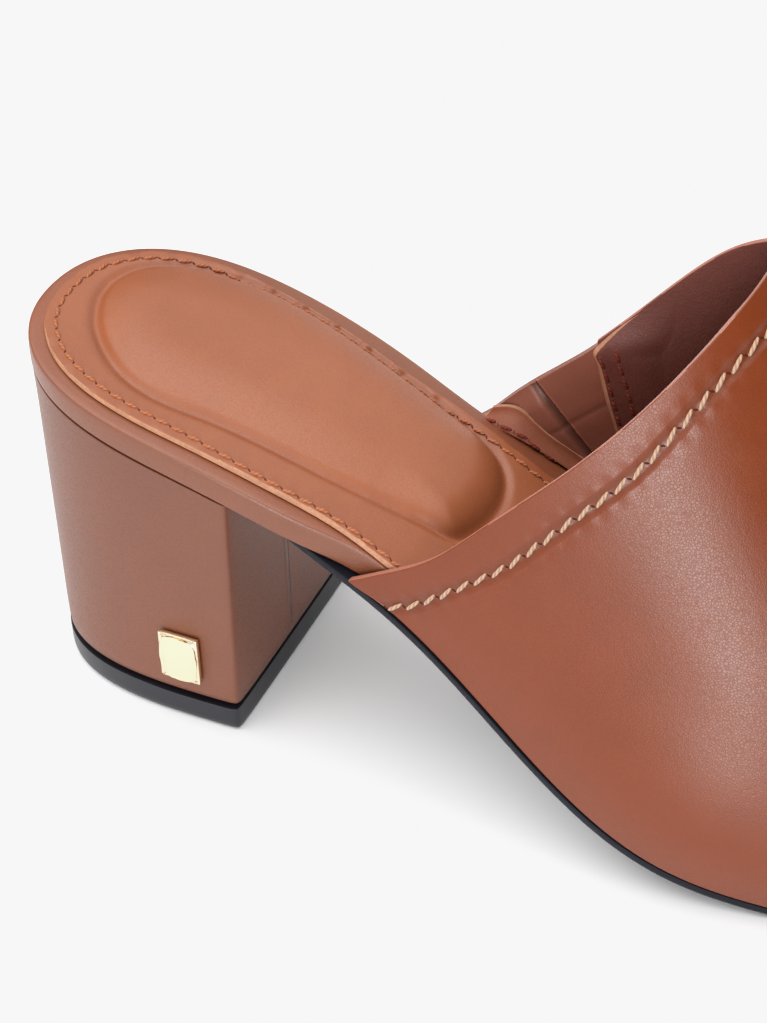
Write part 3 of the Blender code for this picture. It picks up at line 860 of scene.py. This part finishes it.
class MULE_OT_gore(bpy.types.Operator):
    """Makes the leather over the elastic panel, with its fold, and the raw tab inside it"""

    bl_idname = "mule.gore"
    bl_label = "Gore and tab"

    def execute(self, context):
        tones = colours()
        shape = merged("gore")
        round_edges(shape, SHARP, GORE_RADIUS)
        shape = subdivided(shape, 3)
        points, normals = arrays(shape)
        ridge = []
        for start in np.arange(points[:, 0].min(), points[:, 0].max(), GORE_TOP_STEP):
            near = points[(points[:, 0] >= start) & (points[:, 0] < start + GORE_TOP_STEP)]
            ridge.append(near[near[:, 2].argmax()])
        ridge = np.array(ridge)
        top = np.interp(points[:, 0], ridge[:, 0], ridge[:, 2])
        sunk = ease((points[:, 0] - GORE_FRONT) / 0.018) * ease(1 - (top - points[:, 2]) / 0.010)
        points[:, 2] -= GORE_SINK * sunk
        points[:, 0] += GORE_STRETCH * ease((points[:, 0] - GORE_FRONT) / 0.014)
        for vert, point in zip(shape.verts, points):
            vert.co = point
        inside = ease(-normals[:, 1] / 0.6)
        _, fold = beside(points, normals, drawn(GORE_FOLD))
        _, crease = beside(points, normals, drawn(GORE_CREASE))
        step = FOLD_HEIGHT * ease((fold + 0.0004) / FOLD_WIDTH) * np.exp(-np.clip(fold, 0, 1) / FOLD_RUN)
        step -= FOLD_HEIGHT * hump(fold + FOLD_WIDTH, FOLD_WIDTH)
        step -= CREASE_DEPTH * hump(crease, CREASE_WIDTH)
        shift(shape, normals, step * inside)
        swung = ease((points[:, 0] - 0.046) / 0.022) * (1 - ease((fold + FOLD_WIDTH) / 0.0010))
        shift(shape, normals, SWING * inside * swung * ease((top - points[:, 2]) / 0.007))
        folds = shape.verts.layers.float_vector.new("folds")
        for vert, one, other, seen in zip(shape.verts, fold, crease, inside):
            vert[folds] = (one, other, 0.0) if seen > 0.5 else (FOLD_OFF, FOLD_OFF, 0.0)
        shape.normal_update()
        Made.gore = tree_of(shape)
        finishes = [creased_leather("gore_leather", tones.gore, 0.0005)]
        piece("gore_panel", shape, finishes, ["gore"])
        shape = merged("gore_tab")
        for face in shape.faces:
            face.material_index = int(abs(face.normal.y) < 0.7)
        feet = sorted((vert.co.x, vert.co.z) for vert in shape.verts)
        feet = [(x, min(z for place, z in feet if abs(place - x) < 0.0015)) for x, _ in feet]
        start, full = feet[0][0], feet[0][0] + TAB_END
        for vert in shape.verts:
            high = vert.co.z - float(np.interp(vert.co.x, *zip(*feet)))
            if high > 0.001:
                vert.co.z += TAB_RISE * min(1, max(0, 1 - (vert.co.x - full) / TAB_RISE_RUN)) ** 1.3
                vert.co.z -= TAB_CUT * max(0, (full - vert.co.x) / (full - start))
            elif vert.normal.y < 0:
                vert.co += Vector(TAB_FOOT_SHIFT)
            if vert.co.x < full:
                vert.co.x -= (full - vert.co.x) * TAB_PULL
        round_edges(shape, SHARP, 0.00022)
        shape = subdivided(shape, 2)
        Made.tab = tree_of(shape)
        finishes = [
            smooth_leather("tab_leather", tones.tab, 0.5, 1.0),
            raw_leather("tab_edge", tones.raw_edge),
        ]
        piece("tab", shape, finishes, ["gore_tab"])
        return {"FINISHED"}


class MULE_OT_flap(bpy.types.Operator):
    """Makes the raw edge of the lining that laps over the gore; its two rows of stitches are sewn later
    """

    bl_idname = "mule.flap"
    bl_label = "Lining flap"

    def execute(self, context):
        tones = colours()
        rear, front = (spaced(drawn(line), 0.0001) for line in (FLAP_REAR, FLAP_FRONT))
        rear, front = (
            line[np.linspace(0, len(line) - 1, FLAP_ROWS).round().astype(int)] for line in (rear, front)
        )
        ahead = np.concatenate([[0, 0.05], np.linspace(0.1, 1, FLAP_COLUMNS - 2)])
        flat = rear[:, None] + (front - rear)[:, None] * ahead[None, :, None]
        aside = np.array([[self.wall(*place) for place in row] for row in flat])
        for _ in range(FLAP_ROUNDS):
            wide = np.pad(aside, 1, mode="edge")
            aside = (wide[:-2, 1:-1] + wide[2:, 1:-1] + wide[1:-1, :-2] + wide[1:-1, 2:]) / 4
        down = np.concatenate([[0], np.cumsum(np.linalg.norm(np.diff(rear, axis=0), axis=1))])
        far = np.linalg.norm(flat - flat[:, :1], axis=2)
        corner = 0.55 + 0.9 * hump(down - 0.0125, 0.005)
        thick = sizes().flap_thickness * (corner * ease(down / 0.011))[:, None]
        thick = thick * ease((far + 0.0002) / 0.0009) * (1 - ease((far - 0.004) / 0.013))
        thick = thick - 0.0003 * ease((far - 0.009) / 0.006)
        shape = bmesh.new()
        order = shape.verts.layers.int.new("order")
        bmesh.ops.create_grid(shape, x_segments=FLAP_COLUMNS - 1, y_segments=FLAP_ROWS - 1, size=1)
        for number, vert in enumerate(shape.verts):
            vert[order] = number
        skin = [*shape.verts, *shape.edges, *shape.faces]
        made = bmesh.ops.extrude_face_region(shape, geom=skin, use_keep_orig=True)
        back = {item for item in made["geom"] if isinstance(item, bmesh.types.BMVert)}
        places, outs = flat.reshape(-1, 2), aside.ravel()
        for vert in shape.verts:
            rise = thick.ravel()[vert[order]]
            rise = min(rise, 0) - FLAP_SUNK if vert in back else rise
            x, z = places[vert[order]]
            vert.co = (x, outs[vert[order]] - rise, z)
        shape.normal_update()
        bmesh.ops.recalc_face_normals(shape, faces=shape.faces)
        last = len(outs) - FLAP_COLUMNS
        skin = {vert for vert in shape.verts if vert not in back}
        skin = {vert for vert in skin if vert[order] % FLAP_COLUMNS > 1 and vert[order] < last}
        for face in shape.faces:
            leather = face.normal.y < -0.75 and not skin.isdisjoint(face.verts)
            face.material_index = int(not leather)
        Made.flap = tree_of(shape)
        finishes = [
            smooth_leather("flap_leather", tones.lining, 0.5, 1.6, 0.0007),
            raw_leather("flap_edge", tones.raw_edge),
        ]
        piece("lining_flap", shape, finishes)
        return {"FINISHED"}

    def wall(self, x, z):
        """How far out the inside of the medial wall is at a place seen from the side."""
        start, out = Vector((x, 0.004, z)), Vector((0, 1, 0))
        hits = [tree.ray_cast(start, out) for tree in (Made.gore, Made.vamp)]
        hits = [hit for hit in hits if hit[0] and hit[1].y < 0]
        if not hits:
            hits = [tree.find_nearest(Vector((x, 0.024, z))) for tree in (Made.gore, Made.vamp)]
        return min(hit[0].y for hit in hits)


class MULE_OT_insole(bpy.types.Operator):
    """Makes the wrapped insole board, and the sock with its raw edge and padded seat"""

    bl_idname = "mule.insole"
    bl_label = "Insole"

    def execute(self, context):
        tones = colours()
        shape = merged("insole_board")
        # Side faces take a darker copy of the board's leather: painted shade on the band.
        for face in shape.faces:
            face.material_index = int(abs(face.normal.z) < UPRIGHT)
        round_edges(shape, math.radians(60), 0.0005, 3)
        shape = subdivided(shape, 2)
        finishes = [
            smooth_leather("board_leather", tones.board, 0.42),
            smooth_leather("board_side_shaded_leather", [part * 0.76 for part in tones.board], 0.38),
        ]
        piece("board", shape, finishes, ["insole_board"])
        shape = merged("sock")
        rim = rim_of(shape)
        Made.sock_rim = rim
        level = rim[np.argsort(rim[:, 0])]
        for face in shape.faces:
            face.material_index = int(abs(face.normal.z) < UPRIGHT)
        wall = {vert for face in shape.faces if face.material_index for vert in face.verts}
        for vert in wall:
            if any(face.normal.z < -0.5 for face in vert.link_faces):
                out = Vector((vert.normal.x, vert.normal.y, 0)).normalized()
                vert.co += out * SOCK_LEAN + Vector((0, 0, -SOCK_DROP))
        round_edges(shape, SHARP, 0.00015, 1)
        shape = subdivided(shape, 3)
        for face in shape.faces:
            face.material_index = int(abs(face.normal.z) < 0.55)
        points, normals = arrays(shape)
        top = np.interp(points[:, 0], level[:, 0], level[:, 2])
        pad = spaced(drawn(PAD_FOOT + PAD_FOOT[:1], 2), 0.0015)[:-1]
        depth = inside_by(pad, points)
        blunt = ease((points[:, 0] - 0.046) / 0.012)
        share = np.clip(depth / (PAD_SLOPE - PAD_FRONT_STEEPER * blunt), 0, 1)
        rise = sizes().pad_rise * (1 - (1 - share) ** 2.2) * ease(share * 8)
        rise -= PAD_VALLEY * hump(depth + 0.0002, PAD_VALLEY_WIDTH)
        above = normals[:, 2] > 0.5
        edge = np.min(np.linalg.norm(points[:, None] - rim[None, ::2], axis=2), axis=1) < SOCK_BORDER
        for vert, height, up, seen, is_edge in zip(shape.verts, top, rise, above, edge):
            if seen and not is_edge:
                vert.co.z = height + up
        shape.normal_update()
        Made.sock = tree_of(shape)
        finishes = [
            smooth_leather("sock_leather", tones.sock, 0.46, 0.6, 0.0006),
            raw_leather("sock_edge", [part * 1.25 for part in tones.raw_edge]),
        ]
        made = piece("sock_lining", shape, finishes, ["sock"])
        return {"FINISHED"}


class MULE_OT_heel(bpy.types.Operator):
    """Makes the wrapped heel, its top piece and its plate"""

    bl_idname = "mule.heel"
    bl_label = "Heel"

    def execute(self, context):
        tones = colours()
        shape = merged("heel_block")
        for face in shape.faces:
            face.material_index = int(face.normal.x > 0.9)
        corners = round_edges(shape, SHARP, 0.0003)
        # The rounded upright corners take a lighter copy of the heel's leather: a painted highlight.
        for face in corners:
            if abs(face.normal.z) < 0.3:
                face.material_index = 2
        shape = subdivided(shape, 2)
        finishes = [
            smooth_leather("heel_leather", tones.heel, 0.42, 0.7),
            # The breast takes the heel's leather made lighter: painted light on that face.
            breast_leather("breast_leather", [part * 1.3 for part in tones.heel], BREAST_SEAM),
            smooth_leather("corner_highlight_leather", [part * 1.5 + 0.02 for part in tones.heel], 0.4, 0.7),
        ]
        piece("heel", shape, finishes, ["heel_block"])
        shape = merged("top_piece")
        round_edges(shape, SHARP, 0.0002)
        shape = subdivided(shape, 2)
        finishes = [rubber("top_piece_rubber", tones.sole, 0.4)]
        piece("heel_top_piece", shape, finishes, ["top_piece"])
        shape = merged("heel_plate")
        shape.normal_update()
        front = [face for face in shape.faces if face.normal.y < -0.75]
        bmesh.ops.inset_region(shape, faces=front, thickness=0.0010, depth=0.0, use_even_offset=True)
        bmesh.ops.inset_region(shape, faces=front, thickness=0.0003, depth=-0.0004, use_even_offset=True)
        round_edges(shape, math.radians(40), 0.00012)
        shape = subdivided(shape, 1)
        piece("plate", shape, [polished("plate_metal", tones.plate)], ["heel_plate"])
        return {"FINISHED"}


class MULE_OT_outsole(bpy.types.Operator):
    """Makes the thin rubber outsole"""

    bl_idname = "mule.outsole"
    bl_label = "Outsole"

    def execute(self, context):
        shape = merged("outsole")
        round_edges(shape, SHARP, 0.0002)
        shape = subdivided(shape, 2)
        finishes = [rubber("outsole_rubber", colours().sole, 0.12)]
        piece("sole", shape, finishes, ["outsole"])
        return {"FINISHED"}


class MULE_OT_stitches(bpy.types.Operator):
    """Sews the vamp's seam and the fine rows"""

    bl_idname = "mule.stitches"
    bl_label = "Stitches"

    def execute(self, context):
        chosen, tones = sizes(), colours()
        finishes = [
            thread("seam_thread", tones.seam_thread, 0.00010, 0.68),
            shadowed_hole("needle_hole_and_shadow", (0.040, 0.014, 0.008)),
        ]
        gauge = (chosen.seam_pitch, chosen.seam_thread, (0.90, math.radians(17), 0.00018, 70))
        line = laid_line(VAMP_SEAM, Made.vamp)
        stitch_row("vamp_seam", line, Made.vamp, gauge, finishes)
        finishes = [
            thread("row_thread", tones.row_thread, 0.00008, 0.7),
            shadowed_hole("row_hole_and_shadow", (0.16, 0.05, 0.034)),
        ]
        gauge = (chosen.row_pitch, chosen.row_thread, (0.74, math.radians(6), 0.00012, 60))
        for name, line, tree in (
            ("flap_row_rear", FLAP_ROW_REAR, Made.flap),
            ("flap_row_front", FLAP_ROW_FRONT, Made.flap),
            ("tab_row", TAB_ROW, Made.tab),
        ):
            stitch_row(name, laid_line(line, tree), tree, gauge, finishes)
        finishes = [
            thread("sock_thread", tones.sock_thread, 0.00006, 0.75),
            shadowed_hole("sock_hole_and_shadow", (0.10, 0.026, 0.012)),
        ]
        rim = Made.sock_rim
        ahead = np.roll(rim, -1, axis=0) - np.roll(rim, 1, axis=0)
        inward = np.stack([-ahead[:, 1], ahead[:, 0], 0 * ahead[:, 0]], axis=1)
        nearer = ROW_NEARER * (rim[:, 1] < 0) * ease((rim[:, 0] - 0.006) / 0.030)
        margin = chosen.row_margin * (1 - nearer)
        row = rim + (inward.T / np.linalg.norm(inward, axis=1) * margin).T
        row = row[np.argsort(np.arctan2(row[:, 1], row[:, 0] - ROW_END) % (2 * math.pi))]
        row = drawn(row[row[:, 0] < ROW_END] / MM, 1)
        gauge = (chosen.row_pitch, chosen.row_thread, (0.80, math.radians(10), 0.00024, 50))
        stitch_row("sock_row", row, Made.sock, gauge, finishes)
        return {"FINISHED"}


class MULE_OT_stage(bpy.types.Operator):
    """Lays the floor, hangs the soft lights and sets the camera"""

    bl_idname = "mule.stage"
    bl_label = "Stage"

    def execute(self, context):
        scene = context.scene
        shape = bmesh.new()
        bmesh.ops.create_grid(shape, x_segments=1, y_segments=1, size=FLOOR_SIZE)
        mesh = bpy.data.meshes.new("floor")
        shape.to_mesh(mesh)
        shape.free()
        finish = Finish("floor_paint", {"Roughness": 0.9, "Specular IOR Level": 0.1})
        haze = finish.noise(finish.place(), 0.4)
        tone = colours().floor
        tint = finish.blend(haze, rgba(tone, 0.998), rgba(tone, 1.002))
        mesh.materials.append(finish.feed(Base_Color=tint))
        floor = bpy.data.objects.new("floor", mesh)
        scene.collection.objects.link(floor)
        world = bpy.data.worlds.new("studio")
        world.use_nodes = True
        world.node_tree.nodes["Background"].inputs["Color"].default_value = (1, 1, 1, 1)
        world.node_tree.nodes["Background"].inputs["Strength"].default_value = 0.02
        scene.world = world
        scene.view_settings.view_transform = "Standard"
        scene.view_settings.use_curve_mapping = True
        film = scene.view_settings.curve_mapping
        film.extend = "HORIZONTAL"
        for place in FILM_CURVE[:-1]:
            film.curves[3].points.new(*place)
        film.curves[3].points[-1].location = FILM_CURVE[-1]
        film.update()
        for name, toward, spread, power in SOFT_LIGHTS:
            data = bpy.data.lights.new(name, "SUN")
            data.angle = math.radians(spread)
            data.energy = power
            lamp = bpy.data.objects.new(name, data)
            lamp.rotation_euler = Vector(toward).to_track_quat("Z", "Y").to_euler()
            scene.collection.objects.link(lamp)
        data = bpy.data.cameras.new("camera")
        data.sensor_fit = "VERTICAL"
        data.sensor_height = CAMERA_SENSOR
        data.lens = CAMERA_LENS
        data.clip_start = 0.01
        camera = bpy.data.objects.new("camera", data)
        turn = Matrix((CAMERA_RIGHT, CAMERA_UP, CAMERA_BACK)).transposed().to_4x4()
        camera.matrix_world = Matrix.Translation(CAMERA_PLACE) @ turn
        scene.collection.objects.link(camera)
        scene.camera = camera
        return {"FINISHED"}


STEPS = (
    MULE_OT_vamp,
    MULE_OT_gore,
    MULE_OT_flap,
    MULE_OT_insole,
    MULE_OT_heel,
    MULE_OT_outsole,
    MULE_OT_stitches,
    MULE_OT_stage,
)


class MULE_PT_panel(bpy.types.Panel):
    bl_label = "Block heel mule"
    bl_idname = "MULE_PT_panel"
    bl_space_type = "VIEW_3D"
    bl_region_type = "UI"
    bl_category = "Mule"

    def draw(self, context):
        for group in (sizes(), colours()):
            for name in group.bl_rna.properties.keys():
                if name not in ("rna_type", "name"):
                    self.layout.prop(group, name)
        for step in STEPS:
            self.layout.operator(step.bl_idname)


CLASSES = (MuleSizes, MuleColours, *STEPS, MULE_PT_panel)


def register():
    for made in CLASSES:
        bpy.utils.register_class(made)
    bpy.types.Scene.mule_sizes = PointerProperty(type=MuleSizes)
    bpy.types.Scene.mule_colours = PointerProperty(type=MuleColours)


def unregister():
    del bpy.types.Scene.mule_colours
    del bpy.types.Scene.mule_sizes
    for made in reversed(CLASSES):
        bpy.utils.unregister_class(made)


def main():
    register()
    bpy.ops.mule.vamp()
    bpy.ops.mule.gore()
    bpy.ops.mule.flap()
    bpy.ops.mule.insole()
    bpy.ops.mule.heel()
    bpy.ops.mule.outsole()
    bpy.ops.mule.stitches()
    bpy.ops.mule.stage()


if __name__ == "__main__":
    main()
